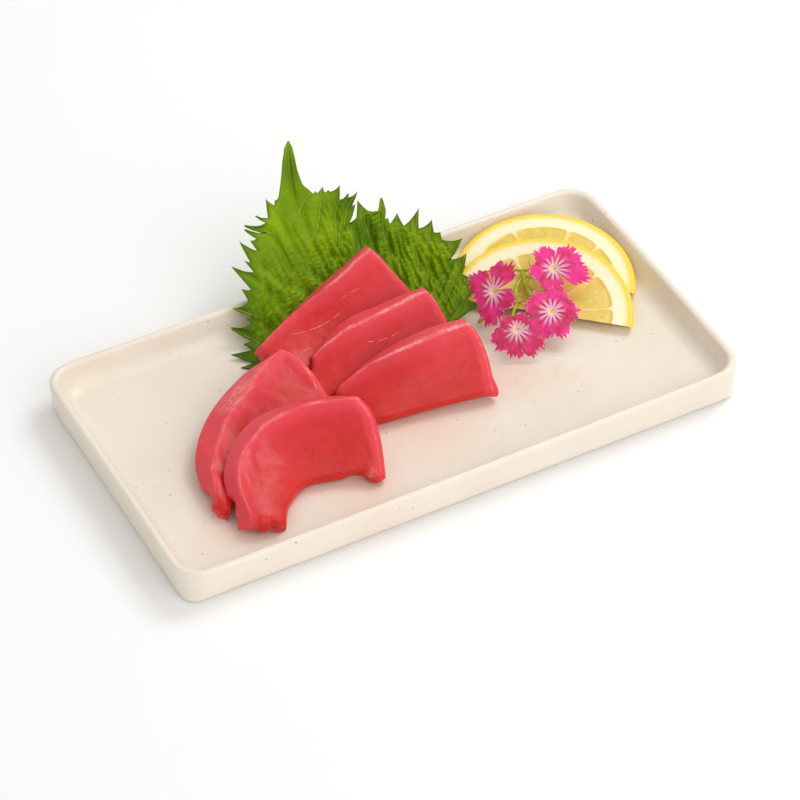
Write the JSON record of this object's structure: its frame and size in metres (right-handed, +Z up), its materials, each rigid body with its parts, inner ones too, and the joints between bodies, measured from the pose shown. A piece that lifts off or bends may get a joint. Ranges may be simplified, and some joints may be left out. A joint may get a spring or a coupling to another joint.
{
  "type": "sashimi plate",
  "caption": "Rectangular stoneware plate with a low rim, set with slices of raw tuna, shiso leaves, cut lemon and a sprig of small fringed flowers.",
  "frame": {"origin": "on the table, under the middle of the plate's flat base", "axes": "+Z up, +X along the plate's long side towards the lemon, +Y towards the long side that the leaves stand over"},
  "size_m": [0.2165, 0.1469, 0.0492],
  "materials": {
    "glazed_stoneware": "satin",
    "raw_tuna": "satin",
    "shiso_leaf": "matte",
    "lemon": "satin",
    "petal": "matte",
    "green_stalk": "satin"
  },
  "bodies": {
    "root": {"plate": "glazed_stoneware", "tuna_slice_1": "raw_tuna", "tuna_slice_2": "raw_tuna", "tuna_slice_3": "raw_tuna", "tuna_slice_4": "raw_tuna", "tuna_slice_5": "raw_tuna", "shiso_leaf_1": "shiso_leaf", "shiso_leaf_2": "shiso_leaf", "lemon_slice_1": "lemon", "lemon_slice_2": "lemon", "flower_1": "petal", "flower_2": "petal", "flower_3": "petal", "flower_4": "petal", "flower_stem": "green_stalk"}
  },
  "joints": []
}
